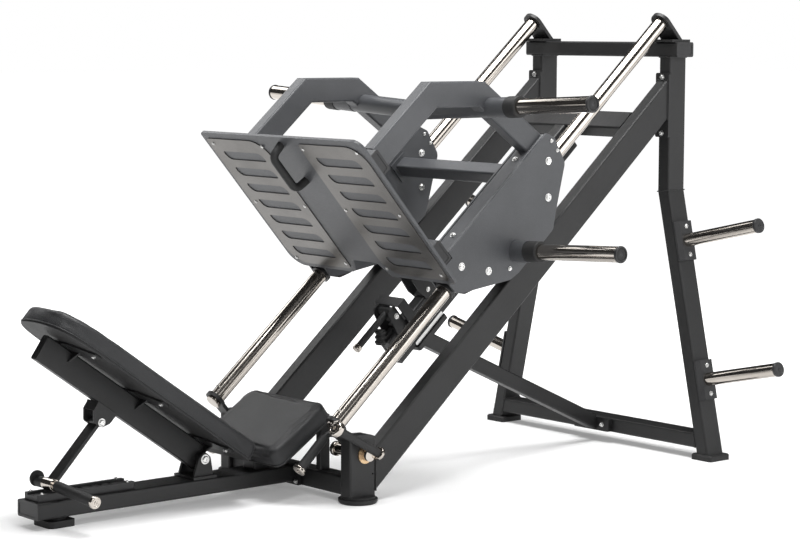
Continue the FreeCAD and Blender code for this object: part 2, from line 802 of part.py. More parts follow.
def level_edge(edge):
    """True for the corner edges that follow the path of a mitred frame."""
    d = edge.Vertexes[-1].Point.sub(edge.Vertexes[0].Point)
    return abs(d.y) < 1e-6 and d.Length > 90


HORN_HIGH = (1490.0, 1175.0)     # x and z of the upper horn axis at y = 0
HORN_LOW = (1589.0, 718.0)
BOSS_HIGH, COLLAR_HIGH, END_HIGH = 421.0, 472.0, 779.0
BOSS_LOW, COLLAR_LOW, END_LOW = 411.0, 467.0, 808.0


def horn_axis(base, y):
    return base[0], y, base[1] + y * math.tan(math.radians(HORN_TILT))


def horn_crosstube():
    """Shallow V tube through both upper frames with its outer bosses, and the
    weld bosses of the lower horns."""
    arm = cyl(30, horn_axis(HORN_HIGH, -8), horn_axis(HORN_HIGH, 340))
    arm = arm.cut(box(1300, 1700, -50, 0, 1000, 1400))
    boss = cyl(32, horn_axis(HORN_HIGH, POST_Y1), horn_axis(HORN_HIGH, BOSS_HIGH))
    arm = arm.fuse(boss)
    low = cyl(35, horn_axis(HORN_LOW, SIDE_OUT - 10), horn_axis(HORN_LOW, BOSS_LOW))
    low = low.cut(box(1400, 1800, 200, SIDE_OUT, 400, 1100))
    return [arm.fuse(mirror(arm))] + pair(low)


def horn_through():
    """Envelope of the V tube for cutting the frames."""
    arm = cyl(30, horn_axis(HORN_HIGH, 0), horn_axis(HORN_HIGH, 420))
    boss = cyl(32, horn_axis(HORN_HIGH, POST_Y1), horn_axis(HORN_HIGH, 420))
    return arm.fuse(boss)


def carriage_horns():
    out = []
    out += pair(cyl(HORN_R, horn_axis(HORN_HIGH, COLLAR_HIGH), horn_axis(HORN_HIGH, END_HIGH)))
    out += pair(cyl(HORN_R, horn_axis(HORN_LOW, COLLAR_LOW), horn_axis(HORN_LOW, END_LOW)))
    return out


def horn_collars():
    """Black rubber faced collars at the root of each carriage horn."""
    out = []
    for base, y0, y1 in ((HORN_HIGH, BOSS_HIGH, COLLAR_HIGH), (HORN_LOW, BOSS_LOW, COLLAR_LOW)):
        collar = cyl(34, horn_axis(base, y0), horn_axis(base, y1))
        edges = [e for e in collar.Edges if e.Curve.TypeId.endswith("Circle")]
        out += pair(collar.makeFillet(3, edges))
    return out


def horn_caps():
    out = []
    for base, y in ((HORN_HIGH, END_HIGH), (HORN_LOW, END_LOW)):
        cap = cyl(END_R, horn_axis(base, y), horn_axis(base, y + 9))
        cap = cap.makeFillet(3, [e for e in cap.Edges if e.Curve.TypeId.endswith("Circle")])
        out += pair(cap)
    return out


def bearing_blocks():
    """Black plain-bearing housings between the cheeks, bored for the rods."""
    y0, y1 = SIDE_IN + SIDE_T, SIDE_OUT - SIDE_T
    low = prism_y([(962, 50), (962, -12), (986, -44), (1030, -64), (1096, -64), (1096, 50)],
                  y0, y1, [2, 8, 12, 14, 4, 4])
    low = low.fuse(cyl(32, (950, RAIL_Y, 0), (963, RAIL_Y, 0)))
    high = prism_y([(1405, 50), (1405, -50), (1546, -38), (1562, -30), (1562, 50)], y0, y1,
                   [4, 6, 10, 10, 4])
    high = high.fuse(cyl(33, (1561, RAIL_Y, 0), (1576, RAIL_Y, 0)))
    hollow = cyl(33, (1000, RAIL_Y, 0), (1060, RAIL_Y, 0))
    hollow2 = cyl(33, (1440, RAIL_Y, 0), (1520, RAIL_Y, 0))
    bore = cyl(ROD_R + 0.35, (800, RAIL_Y, 0), (1700, RAIL_Y, 0))
    out = []
    for part in (low.cut(hollow), high.cut(hollow2)):
        out += pair(on_rail(part.cut(bore)))
    return out


SIDE_BOLTS = [(1515, 33, 9.5), (1439, -56, 9.5), (1028, 37, 9.5), (1100, -54, 9.5),
              (1566, 74, 4.5), (1566, 32, 4.5), (1170, -112, 5.5)]


def carriage_bolts():
    out = []
    for s, n, r in SIDE_BOLTS:
        outer = rail_bolt(s, SIDE_OUT, n, (0, 1, 0), r, 5)
        inner = rail_bolt(s, SIDE_IN, n, (0, -1, 0), r, 5)
        out += pair(outer) + pair(inner)
    for s in (1092, 1440):
        out += pair(rail_bolt(s, 311, 107, (0, 0, 1), 7, 5))
    for y in (104, 364):
        for n in (596, 338, 82):
            screw = rail_bolt(PLATE_S - 3, y, n, (-1, 0, 0), 4.2, 1.8)
            out += pair(screw)
    return out


# -------------------------------------------------------------- back support
def backrest_pad():
    pts = [(-80, -155), (560, -155), (690, -140), (732, -70), (732, 70), (690, 140),
           (560, 155), (-80, 155)]
    pad = prism_z(pts, 50, 108, [24, 300, 78, 70, 70, 78, 300, 24])
    pad = pad.makeFillet(12, pad.Edges)
    return [on_back(pad)]


WINGS = (565.0, 283.0, -3.0)


def backrest_frame():
    """Spine tube, hinge sleeve, three cross plates with gussets and strut ears."""
    w = 15
    spine = tube(-10, 667, -w, w, -37, 42, 0, 5)
    sleeve = cyl(19, (0, -32, 0), (0, 32, 0))
    ear = prism_y([(346, -37), (424, -37), (424, -66), (404, -96), (372, -97), (352, -72)],
                  24, 29, [2, 2, 8, 12, 16, 8])
    front = prism_y([(420, -37), (425, -37), (425, -66), (420, -66)], -24.5, 24.5)
    cross = box(344, 425, -29, 29, -42, -37)
    parts = [sleeve, ear, mirror(ear), front, cross]
    parts.append(plug(-10, 667, -w, w, -37, 42, 0, 1))
    for u in WINGS:
        wing = [(u - 15, -138), (u + 15, -138), (u + 56, -40), (u + 56, 40), (u + 15, 138),
                (u - 15, 138), (u - 14, 40), (u - 14, -40)]
        parts.append(prism_z(wing, 44, 49.5, [8, 8, 20, 20, 8, 8, 20, 20]))
        parts.append(box(u - 14, u + 56, -w, w, 42, 44))
        web = [(w, 44), (w, 8), (w + 34, 44)]
        web = prism_x(web, u + 4, u + 9)
        parts += pair(web)
    u, v = back_point(STRUT_TOP)
    parts.append(cyl(6, (u, -26, v), (u, 26, v)))
    body = spine.fuse(parts)
    body = body.cut(cyl(10 + RUN, (0, -40, 0), (0, 40, 0)))
    return [on_back(body)]


def backrest_bolts():
    """Screws of the cross plates and the bolt heads of the strut pivot."""
    out = []
    for u in WINGS:
        for y in (-112, 112):
            out.append(on_back(bolt((u, y, 44), (0, 0, -1), 6, 4)))
    u, v = back_point(STRUT_TOP)
    for side in (1, -1):
        out.append(on_back(bolt((u, 29 * side, v), (0, side, 0), 9, 5)))
    return out


def back_point(p):
    """Back space (u, v) of a world (x, z) point."""
    a = math.radians(BACK_DEG)
    dx = p[0] - HINGE[0]
    dz = p[1] - HINGE[1]
    return -dx * math.cos(a) + dz * math.sin(a), dx * math.sin(a) + dz * math.cos(a)


HUB_R = 18.0                 # chrome hub at the foot of the strut
NECK_R = 12.0                # neck between the hub and the hand grip


def strut():
    """Flat strut from the back support to the rack, with its top sleeve."""
    a, b = STRUT_TOP, STRUT_FOOT
    dx, dz = b[0] - a[0], b[1] - a[1]
    k = math.hypot(dx, dz)
    ux, uz = dx / k, dz / k
    nx, nz = -uz * 5, ux * 5
    low = (b[0] - ux * 13, b[1] - uz * 13)
    pts = [(a[0] + nx, a[1] + nz), (low[0] + nx, low[1] + nz), (low[0] - nx, low[1] - nz),
           (a[0] - nx, a[1] - nz)]
    blade = prism_y(pts, -23, 23)
    blade = blade.fuse(cyl(13, (a[0], -23, a[1]), (a[0], 23, a[1])))
    blade = blade.cut(cyl(HUB_R, (b[0], -60, b[1]), (b[0], 60, b[1])))
    return [blade.cut(cyl(6 + RUN, (a[0], -30, a[1]), (a[0], 30, a[1])))]


def strut_hub():
    """Chrome sleeve with its collar at the foot of the strut."""
    x, z = STRUT_FOOT
    hub = cyl(HUB_R, (x, -28, z), (x, 20, z))
    hub = hub.makeFillet(2, [e for e in hub.Edges if e.Curve.TypeId.endswith("Circle")])
    neck = cyl(NECK_R, (x, -27, z), (x, -40, z))
    collar = cyl(17, (x, 19, z), (x, 24, z))
    hub = hub.fuse([neck, collar])
    near = grip_point(214)
    far = grip_point(226)
    cap = cyl(18.5, near, far)
    cap = cap.makeFillet(3, [e for e in cap.Edges if e.Curve.TypeId.endswith("Circle")])
    return [hub, cap]


def grip_point(r):
    """Point on the axis of the hand grip, r from the strut's middle plane."""
    x, z = STRUT_FOOT
    k = r - 26
    return x + 0.066 * k, -26 - 0.99 * k, z - 0.106 * k


def strut_handle():
    """Black knob on the far end of the hub and the hand grip on the near end."""
    x, z = STRUT_FOOT
    knob = cyl(16.5, (x, 24, z), (x, 68, z))
    flange = cyl(24, (x, 67, z + 7), (x, 76, z + 7))
    flange = flange.makeFillet(3, [e for e in flange.Edges
                                   if e.Curve.TypeId.endswith("Circle")])
    grip = cyl(16.5, grip_point(34), grip_point(214))
    grip = grip.cut(cyl(60, (x, -40, z), (x, 40, z)))
    return [knob.fuse(flange), grip]


# ---------------------------------------------------------------- fasteners
def frame_bolts():
    out = []
    for x in (30, 322):
        for y in (-30, 30):
            out.append(bolt((x, y, BASE_Z1 + TRACK_H), (0, 0, 1), 4.5, 3))
    for y in (-65.5, 65.5):
        for z in (34, 82):
            out.append(bolt((926, y, z), (-1, 0, 0), 6, 5))
    for z in (1092, 1280):
        out += pair(bolt((UP_X0 - 10, RAIL_Y, z), (-1, 0, 0), 7, 6))
    for y in (-53, 53):
        out.append(bolt((UP_X0 - 16, y, 63), (-1, 0, 0), 6.5, 6))
    for s in (922, 1050):
        out.append(on_rail(bolt((s, 0, BEAM_BOT - 16), (0, 0, -1), 7, 6)))
    x, z = HINGE
    out += pair(bolt((x, 43, z), (0, 1, 0), 11, 5))
    for z in PEG_Z:
        for t in (-48, 48):
            head = bolt((0, t, 20), (0, 0, 1), 6, 4)
            out += pair(placed(head, peg_frame(z)))
    screw = cyl(4.5, (416, RAIL_Y, ROD_R - 0.2), (416, RAIL_Y, ROD_R + 8))
    out.append(bolt((300, -30, BASE_Z0), (0, 0, -1), 5, 5))
    out.append(on_rail(bolt((1064, -31, -139), (0, -1, 0), 6, 4)))
    out.append(on_rail(bolt((907, -40, -104), (0, -1, 0), 7, 4)))
    for part in pair(on_rail(screw)):
        out.append(part.cut(guide_rod() if part.CenterOfMass.y > 0 else mirror(guide_rod())))
    return out


# --------------------------------------------------------------------- build
def opened_frame():
    """Upper frame in world space, opened for the V tube."""
    part = on_rail(upper_frame())
    return part.cut(horn_through())


def nodes():
    left_frame = opened_frame()
    cheeks = side_plates()
    table = {
        "base_beam": base_beam(),
        "adjustment_track": adjustment_track(),
        "tip_foot": tip_foot(),
        "pivot_bracket": pivot_bracket(),
        "seat_support": seat_support(),
        "seat_pad": seat_pad(),
        "front_crossbar": front_crossbar(),
        "front_posts": post_left() + post_right(),
        "front_feet": front_feet(),
        "main_beams": pair(main_beam()),
        "joint_flanges": joint_flanges(),
        "upper_cross_member": upper_cross_member(),
        "center_rail": center_rail(),
        "center_rail_strip": wear_strip(),
        "rear_brace": rear_brace(),
        "rear_crossbar": rear_crossbar(),
        "rear_upright_left": [rear_upright()],
        "rear_upright_right": [mirror(rear_upright())],
        "rear_feet": rear_feet(),
        "top_crossbar": top_crossbar(),
        "frame_tube_caps": frame_tube_caps(),
        "guide_rods": pair(guide_rod()),
        "rod_top_brackets": rod_top_brackets(),
        "rod_lower_brackets": rod_lower_brackets(),
        "storage_brackets": storage_brackets(),
        "storage_horns": storage_horns(),
        "storage_horn_caps": storage_horn_caps(),
        "side_handles": side_handles(),
        "side_grips": side_grips(),
        "side_handle_caps": side_handle_caps(),
        "lock_bushing": lock_bushing(),
        "stop_bracket": stop_bracket(),
        "stop_bumper": stop_bumper(),
        "frame_bolts": frame_bolts(),
        "footplate": foot_plate(),
        "foot_grips": [foot_grip(1)[0], foot_grip(-1)[0]],
        "footplate_handle": footplate_handle(),
        "carriage_crosstubes": carriage_crosstubes(),
        "carriage_tube_caps": carriage_tube_caps(),
        "side_plates_left": cheeks,
        "side_plates_right": [mirror(c) for c in cheeks],
        "lower_rails": lower_rails(),
        "upper_frame_left": [left_frame],
        "upper_frame_right": [mirror(left_frame)],
        "horn_crosstube": horn_crosstube(),
        "bearing_blocks": bearing_blocks(),
        "carriage_horns": carriage_horns(),
        "horn_collars": horn_collars(),
        "horn_caps": horn_caps(),
        "carriage_bolts": carriage_bolts(),
        "backrest_pad": backrest_pad(),
        "backrest_frame": backrest_frame(),
        "backrest_bolts": backrest_bolts(),
        "strut": strut(),
        "strut_hub": strut_hub(),
        "strut_handle": strut_handle(),
        "safety_lever": safety_lever(),
        "lever_grip": lever_grip(),
        "stop_lever": stop_lever(),
        "stop_lever_cap": stop_lever_cap(),
    }
    return table


def main():
    os.makedirs("parts", exist_ok=True)
    shift = V(-ORIGIN_X, 0, 0)
    for name, solids in nodes().items():
        moved = []
        for shape in solids:
            for solid in shape.Solids:
                copy = solid.copy()
                copy.translate(shift)
                moved.append(copy)
        whole = moved[0] if len(moved) == 1 else Part.makeCompound(moved)
        whole.exportStep("parts/" + name + ".step")


main()
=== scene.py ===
"""Looks of the inclined leg press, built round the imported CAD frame.

Metres, +Z up, the same frame as the CAD.  CAD nodes keep their shape and get
procedural materials.  Simulated cushions and turned horn caps replace their
CAD solids, and weld beads, seams, boards and cap screws are added.
"""
import json
import math

import bmesh
import bpy
from mathutils import Matrix, Vector


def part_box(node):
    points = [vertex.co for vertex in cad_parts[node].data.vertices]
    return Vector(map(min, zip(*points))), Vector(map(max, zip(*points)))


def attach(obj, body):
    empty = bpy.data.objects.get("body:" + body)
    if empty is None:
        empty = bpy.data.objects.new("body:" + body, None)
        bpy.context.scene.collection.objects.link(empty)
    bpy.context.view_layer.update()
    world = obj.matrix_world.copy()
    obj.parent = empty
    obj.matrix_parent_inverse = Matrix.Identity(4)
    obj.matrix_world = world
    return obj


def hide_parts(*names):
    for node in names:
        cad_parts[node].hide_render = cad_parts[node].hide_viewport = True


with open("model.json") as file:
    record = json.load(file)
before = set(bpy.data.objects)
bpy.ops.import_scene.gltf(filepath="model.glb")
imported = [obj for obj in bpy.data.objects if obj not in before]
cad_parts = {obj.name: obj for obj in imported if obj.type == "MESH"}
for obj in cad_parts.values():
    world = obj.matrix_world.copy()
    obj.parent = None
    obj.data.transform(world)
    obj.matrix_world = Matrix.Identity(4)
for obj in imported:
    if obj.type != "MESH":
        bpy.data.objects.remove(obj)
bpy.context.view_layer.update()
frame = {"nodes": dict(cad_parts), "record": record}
NODES = frame["nodes"]

MM = 0.001
RAIL_DEG = 41.0
RAIL_Y = 311 * MM
BACK_DEG = 35.0
SEAT_DEG = 32.6
TUBE_HALF = 25.0             # half the width of the frame tubes, mm
LEG_SPLAY = 0.2246           # sideways run of the rear legs per unit of drop
BRUSH_STRETCH = 70.0         # how much longer than wide the brushing lines are
BRUSH_ROUGH = 0.34


# ------------------------------------------------------------------ placing
def slope(degrees):
    """Unit vectors (along, normal) of a plane that rises towards +X."""
    a = math.radians(degrees)
    return (Vector((math.cos(a), 0, math.sin(a))), Vector((-math.sin(a), 0, math.cos(a))))


RAIL_S, RAIL_N = slope(RAIL_DEG)
ROD_LO, ROD_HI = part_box("guide_rods")


def rail_origin():
    """Point on the rail axes' plane, y = 0, where they would meet the floor."""
    mid = Vector(((ROD_LO.x + ROD_HI.x) / 2, 0, (ROD_LO.z + ROD_HI.z) / 2))
    return mid - RAIL_S * (mid.z / RAIL_S.z)


RAIL_0 = rail_origin()


# ---------------------------------------------------------------- materials
class Shader:
    """A material's node tree with short calls for the nodes used here."""

    def __init__(self, name, rough=0.5, metal=0.0, coat=0.0, sheen=0.0, ior=1.5):
        self.mat = bpy.data.materials.new(name)
        self.mat.use_nodes = True
        self.tree = self.mat.node_tree
        self.bsdf = self.tree.nodes["Principled BSDF"]
        for socket, value in (("Roughness", rough), ("Metallic", metal), ("IOR", ior),
                              ("Coat Weight", coat), ("Sheen Weight", sheen)):
            self.bsdf.inputs[socket].default_value = value
        self.coord = self.node("ShaderNodeTexCoord").outputs["Object"]
        self.height = None

    def node(self, kind, **settings):
        made = self.tree.nodes.new(kind)
        for key, value in settings.items():
            setattr(made, key, value)
        return made

    def link(self, a, b):
        self.tree.links.new(a, b)

    def mapped(self, scale=(1, 1, 1), turn=(0, 0, 0)):
        """Object coordinates turned first, then stretched."""
        turned = self.node("ShaderNodeMapping")
        turned.inputs["Rotation"].default_value = [math.radians(v) for v in turn]
        self.link(self.coord, turned.inputs["Vector"])
        out = self.node("ShaderNodeMapping")
        out.inputs["Scale"].default_value = scale
        self.link(turned.outputs[0], out.inputs["Vector"])
        return out.outputs[0]

    def noise(self, scale, detail=3.0, rough=0.5, vector=None):
        made = self.node("ShaderNodeTexNoise")
        made.inputs["Scale"].default_value = scale
        made.inputs["Detail"].default_value = detail
        made.inputs["Roughness"].default_value = rough
        self.link(vector or self.coord, made.inputs["Vector"])
        return made.outputs[0]

    def cells(self, scale, feature="F1", vector=None):
        made = self.node("ShaderNodeTexVoronoi", feature=feature)
        made.inputs["Scale"].default_value = scale
        self.link(vector or self.coord, made.inputs["Vector"])
        return made.outputs["Distance"]

    def ramp(self, value, lo, hi, out_lo=0.0, out_hi=1.0):
        made = self.node("ShaderNodeMapRange")
        for socket, v in (("From Min", lo), ("From Max", hi), ("To Min", out_lo),
                          ("To Max", out_hi)):
            made.inputs[socket].default_value = v
        self.link(value, made.inputs["Value"])
        return made.outputs[0]

    def math(self, operation, a, b):
        made = self.node("ShaderNodeMath", operation=operation)
        for socket, v in ((made.inputs[0], a), (made.inputs[1], b)):
            if isinstance(v, (int, float)):
                socket.default_value = v
            else:
                self.link(v, socket)
        return made.outputs[0]

    def mix(self, factor, a, b):
        made = self.node("ShaderNodeMix", data_type="RGBA")
        self.link(factor, made.inputs[0])
        for socket, v in ((made.inputs[6], a), (made.inputs[7], b)):
            if isinstance(v, (tuple, list)):
                socket.default_value = (*v, 1)
            else:
                self.link(v, socket)
        return made.outputs[2]

    def colour(self, value):
        if isinstance(value, (tuple, list)):
            self.bsdf.inputs["Base Color"].default_value = (*value, 1)
        else:
            self.link(value, self.bsdf.inputs["Base Color"])

    def roughness(self, value):
        self.link(value, self.bsdf.inputs["Roughness"])

    def bump(self, value, strength, distance):
        """Adds a height to the normal; later calls stack on earlier ones."""
        made = self.node("ShaderNodeBump")
        made.inputs["Strength"].default_value = strength
        made.inputs["Distance"].default_value = distance
        self.link(value, made.inputs["Height"])
        if self.height is not None:
            self.link(self.height, made.inputs["Normal"])
        self.height = made.outputs[0]
        self.link(self.height, self.bsdf.inputs["Normal"])

    def edges(self, radius):
        """1 on sharp convex and concave edges, 0 on flat stretches."""
        bevel = self.node("ShaderNodeBevel", samples=4)
        bevel.inputs["Radius"].default_value = radius
        geometry = self.node("ShaderNodeNewGeometry")
        dot = self.node("ShaderNodeVectorMath", operation="DOT_PRODUCT")
        self.link(bevel.outputs[0], dot.inputs[0])
        self.link(geometry.outputs["Normal"], dot.inputs[1])
        return self.ramp(dot.outputs["Value"], 0.995, 0.90)


def powder_coat(name, dark, light, rough):
    """Satin powder coat: orange peel, fine speckle, faint handling marks, and lighter edge
    patches that are partly wear and partly a painted highlight.
    """
    m = Shader(name, coat=0.03, ior=1.42)
    m.bsdf.inputs["Coat Roughness"].default_value = 0.28
    cloud = m.noise(5.0, 4.0, 0.6)
    speck = m.noise(1400.0, 1.0)
    base = m.mix(m.ramp(cloud, 0.35, 0.7), dark, light)
    speckled = m.mix(m.ramp(speck, 0.5, 0.72, 0.0, 0.35), base, [min(1, c * 1.9) for c in light])
    # Lighter colour in noisy patches on sharp edges: partly edge wear, partly a painted edge
    # highlight.
    edge_wear_and_highlight = m.math("MULTIPLY", m.edges(0.0022), m.ramp(m.noise(38.0, 5.0, 0.7), 0.42, 0.68))
    m.colour(m.mix(m.math("MULTIPLY", edge_wear_and_highlight, 0.45), speckled, [min(1, c * 3.2) for c in light]))
    scuff = m.noise(60.0, 6.0, 0.75, m.mapped((1, 1, 6), (20, 35, 0)))
    m.roughness(m.ramp(scuff, 0.3, 0.75, rough - 0.06, rough + 0.08))
    m.bump(m.noise(520.0, 2.0, 0.5), 0.25, 0.00025)
    m.bump(m.noise(95.0, 1.0), 0.10, 0.0004)
    return m.mat


def polished_chrome(name, turn, rough):
    """Hard chrome with faint grinding lines round the bar and a few scratches."""
    m = Shader(name, metal=1.0)
    tint = m.noise(3.0, 2.0)
    m.colour(m.mix(m.ramp(tint, 0.3, 0.7), (0.42, 0.388, 0.352), (0.52, 0.482, 0.44)))
    rings = m.noise(22.0, 3.0, 0.6, m.mapped((90, 1, 1), turn))
    marks = m.noise(16.0, 4.0, 0.7, m.mapped((1, 60, 60), turn))
    m.roughness(m.math("ADD", m.ramp(rings, 0.3, 0.7, rough - 0.03, rough + 0.04),
                       m.ramp(marks, 0.58, 0.8, 0.0, 0.05)))
    m.bump(rings, 0.02, 0.0001)
    return m.mat


def brushed_steel(name, turn, dark, light):
    """Stainless steel brushed along one direction."""
    m = Shader(name, metal=1.0)
    m.bsdf.inputs["Anisotropic"].default_value = 0.35
    lines = m.noise(14.0, 4.0, 0.65, m.mapped((1, BRUSH_STRETCH, BRUSH_STRETCH), turn))
    cloud = m.noise(7.0, 4.0, 0.6)
    both = m.math("ADD", m.math("MULTIPLY", lines, 0.65), m.math("MULTIPLY", cloud, 0.35))
    m.colour(m.mix(m.ramp(both, 0.35, 0.65), dark, light))
    m.roughness(m.ramp(lines, 0.3, 0.7, BRUSH_ROUGH - 0.07, BRUSH_ROUGH + 0.09))
    m.bump(lines, 0.12, 0.00012)
    return m.mat


def vinyl(name):
    """Upholstery vinyl: small pebbled grain with painted shade in its creases, faint stretch
    lines and body oils.
    """
    m = Shader(name, sheen=0.06, ior=1.42)
    m.bsdf.inputs["Sheen Roughness"].default_value = 0.4
    warp = m.noise(60.0, 3.0, 0.6)
    warped = m.node("ShaderNodeVectorMath", operation="ADD")
    scaled = m.node("ShaderNodeVectorMath", operation="SCALE")
    scaled.inputs["Scale"].default_value = 0.004
    m.link(warp, scaled.inputs[0])
    m.link(m.coord, warped.inputs[0])
    m.link(scaled.outputs[0], warped.inputs[1])
    grain = m.cells(430.0, "SMOOTH_F1", warped.outputs[0])
    creases = m.cells(430.0, "DISTANCE_TO_EDGE", warped.outputs[0])
    cloud = m.noise(9.0, 4.0, 0.6)
    tone = m.mix(m.ramp(cloud, 0.3, 0.7), (0.0115, 0.0118, 0.0128), (0.0185, 0.019, 0.0205))
    # Painted shade: the colour is darkened in the grain's creases.
    m.colour(m.mix(m.ramp(creases, 0.0, 0.09, 0.55, 0.0), tone, (0.008, 0.008, 0.009)))
    m.roughness(m.math("ADD", m.ramp(cloud, 0.3, 0.7, 0.37, 0.46),
                       m.ramp(grain, 0.1, 0.7, 0.0, 0.10)))
    m.bump(m.ramp(creases, 0.0, 0.12), 0.45, 0.00035)
    m.bump(m.noise(1500.0, 2.0), 0.12, 0.0001)
    m.bump(m.noise(22.0, 3.0, 0.55), 0.18, 0.0012)
    return m.mat


def moulded(name, dark, light, rough, grain):
    """Moulded rubber or plastic with a spark-eroded surface and dust."""
    m = Shader(name, ior=1.42)
    cloud = m.noise(14.0, 4.0, 0.65)
    dust = m.ramp(m.noise(260.0, 3.0, 0.7), 0.58, 0.8, 0.0, 0.5)
    base = m.mix(m.ramp(cloud, 0.35, 0.7), dark, light)
    m.colour(m.mix(dust, base, [c * 2.2 for c in light]))
    m.roughness(m.ramp(cloud, 0.3, 0.75, rough - 0.07, rough + 0.07))
    m.bump(m.noise(grain, 2.0, 0.6), 0.35, 0.0003)
    return m.mat


def plated(name, dark, light, rough):
    """Zinc or bronze with a cloudy passivated surface."""
    m = Shader(name, metal=1.0)
    cloud = m.noise(120.0, 4.0, 0.6)
    m.colour(m.mix(m.ramp(cloud, 0.3, 0.7), dark, light))
    m.roughness(m.ramp(m.noise(420.0, 3.0), 0.3, 0.7, rough - 0.06, rough + 0.10))
    m.bump(m.noise(700.0, 2.0), 0.10, 0.0001)
    return m.mat


FRAME_PAINT = powder_coat("frame_powder_coat", (0.0075, 0.0075, 0.0078),
                          (0.0115, 0.0115, 0.0119), 0.47)
SLEDGE_PAINT = powder_coat("sledge_powder_coat", (0.050, 0.052, 0.056),
                           (0.064, 0.066, 0.071), 0.42)
CHROME_RAIL = polished_chrome("chrome_rail", (0, RAIL_DEG, 0), 0.15)
CHROME_BAR = polished_chrome("chrome_bar", (0, 0, -90), 0.12)
TREAD = brushed_steel("tread_brushed", (0, 0, 0), (0.115, 0.110, 0.105), (0.185, 0.178, 0.169))
STRIP = brushed_steel("strip_brushed", (0, RAIL_DEG, 0), (0.45, 0.45, 0.45), (0.62, 0.62, 0.61))
VINYL = vinyl("black_vinyl")
RUBBER = moulded("black_rubber", (0.012, 0.012, 0.0125), (0.022, 0.022, 0.022), 0.62, 900.0)
PLASTIC = moulded("black_plastic", (0.014, 0.014, 0.015), (0.024, 0.024, 0.025), 0.42, 1300.0)
ZINC = plated("bright_zinc", (0.58, 0.58, 0.57), (0.74, 0.74, 0.73), 0.24)
BRONZE = plated("bronze_bush", (0.48, 0.33, 0.19), (0.66, 0.48, 0.30), 0.28)

BY_SLOT = {"frame_paint": FRAME_PAINT, "carriage_paint": SLEDGE_PAINT, "chrome": CHROME_BAR,
           "tread_steel": TREAD, "vinyl": VINYL, "rubber_black": RUBBER,
           "plastic_black": PLASTIC, "zinc": ZINC, "bronze": BRONZE}
BY_NODE = {"guide_rods": CHROME_RAIL, "center_rail_strip": STRIP}
SLOT_OF = {part["node"]: part["material_slot"] for part in frame["record"]["subparts"]}


def dress_cad_nodes():
    """Gives every CAD node its material."""
    for name, obj in NODES.items():
        obj.data.materials.clear()
        obj.data.materials.append(BY_NODE.get(name, BY_SLOT[SLOT_OF[name]]))


dress_cad_nodes()


# -------------------------------------------------------------- mesh helpers
def new_object(name, mesh, material, body):
    """Object of one material that rides a body, with its material slot."""
    obj = bpy.data.objects.new(name, mesh)
    bpy.context.scene.collection.objects.link(obj)
    mesh.materials.clear()
    mesh.materials.append(material)
    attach(obj, body)
    return obj


def apply_modifiers(obj):
    """Bakes the object's modifiers into its mesh."""
    graph = bpy.context.evaluated_depsgraph_get()
    mesh = bpy.data.meshes.new_from_object(obj.evaluated_get(graph), depsgraph=graph)
    obj.modifiers.clear()
    old = obj.data
    obj.data = mesh
    bpy.data.meshes.remove(old)


def shade_smooth(mesh):
    for polygon in mesh.polygons:
        polygon.use_smooth = True


def finished(name, bm):
    """Mesh of a bmesh, with all its faces turned outwards."""
    bmesh.ops.recalc_face_normals(bm, faces=bm.faces)
    mesh = bpy.data.meshes.new(name)
    bm.to_mesh(mesh)
    bm.free()
    return mesh


def lofted(name, rings):
    """Closed mesh through rings of equally many points, with flat ends."""
    bm = bmesh.new()
    loops = [[bm.verts.new(p) for p in ring] for ring in rings]
    n = len(loops[0])
    for low, high in zip(loops, loops[1:]):
        for i in range(n):
            bm.faces.new((low[i], low[(i + 1) % n], high[(i + 1) % n], high[i]))
    bm.faces.new(loops[0][::-1])
    bm.faces.new(loops[-1])
    return finished(name, bm)


def hull_2d(points):
    """Convex outline of 2-D points, counter-clockwise."""
    points = sorted(set((round(x, 6), round(y, 6)) for x, y in points))

    def half(order):
        out = []
        for p in order:
            while len(out) > 1 and ((out[-1][0] - out[-2][0]) * (p[1] - out[-2][1])
                                    - (out[-1][1] - out[-2][1]) * (p[0] - out[-2][0])) <= 0:
                out.pop()
            out.append(p)
        return out[:-1]

    return half(points) + half(points[::-1])


def resample(points, step):
    """Closed loop of evenly spaced points."""
    ends = [Vector(p) for p in points]
    lengths = [(ends[(i + 1) % len(ends)] - ends[i]).length for i in range(len(ends))]
    total = sum(lengths)
    count = max(12, round(total / step))
    out = []
    i = 0
    gone = 0.0
    for k in range(count):
        at = total * k / count
        while at > gone + lengths[i]:
            gone += lengths[i]
            i += 1
        t = (at - gone) / lengths[i]
        out.append(ends[i].lerp(ends[(i + 1) % len(ends)], t))
    return out


def inset(loop, distance):
    """Closed 2-D loop moved inwards."""
    out = []
    n = len(loop)
    for i in range(n):
        a = loop[i - 1]
        b = loop[(i + 1) % n]
        d = (b - a).normalized()
        out.append(loop[i] + Vector((-d.y, d.x)) * distance)
    return out


END_TAPER = 0.45             # how far a tube's open ends narrow
RIPPLE_PITCH = 5 * MM


def sweep(name, path, radius, closed, sides=8, ripple=0.0):
    """Tube mesh along a 3-D path; ripple swells it like a weld's scales."""
    bm = bmesh.new()
    rings = []
    n = len(path)
    run = 0.0
    up = None
    for i in range(n):
        a = path[i - 1] if closed or i > 0 else path[i]
        b = path[(i + 1) % n] if closed or i < n - 1 else path[i]
        d = (b - a).normalized()
        if up is None:
            up = d.orthogonal().normalized()
        up = (up - d * up.dot(d)).normalized()
        side = d.cross(up)
        if i > 0:
            run += (path[i] - path[i - 1]).length
        r = radius * (1 + ripple * math.sin(2 * math.pi * run / RIPPLE_PITCH))
        if not closed and i in (0, n - 1):
            r *= END_TAPER
        rings.append([bm.verts.new(path[i] + (up * math.cos(t) + side * math.sin(t)) * r)
                      for t in (2 * math.pi * k / sides for k in range(sides))])
    pairs = list(zip(rings, rings[1:]))
    if closed:
        pairs.append((rings[-1], rings[0]))
    for low, high in pairs:
        for k in range(sides):
            bm.faces.new((low[k], low[(k + 1) % sides], high[(k + 1) % sides], high[k]))
    if not closed:
        bm.faces.new(rings[0][::-1])
        bm.faces.new(rings[-1])
    mesh = finished(name, bm)
    shade_smooth(mesh)
    return mesh


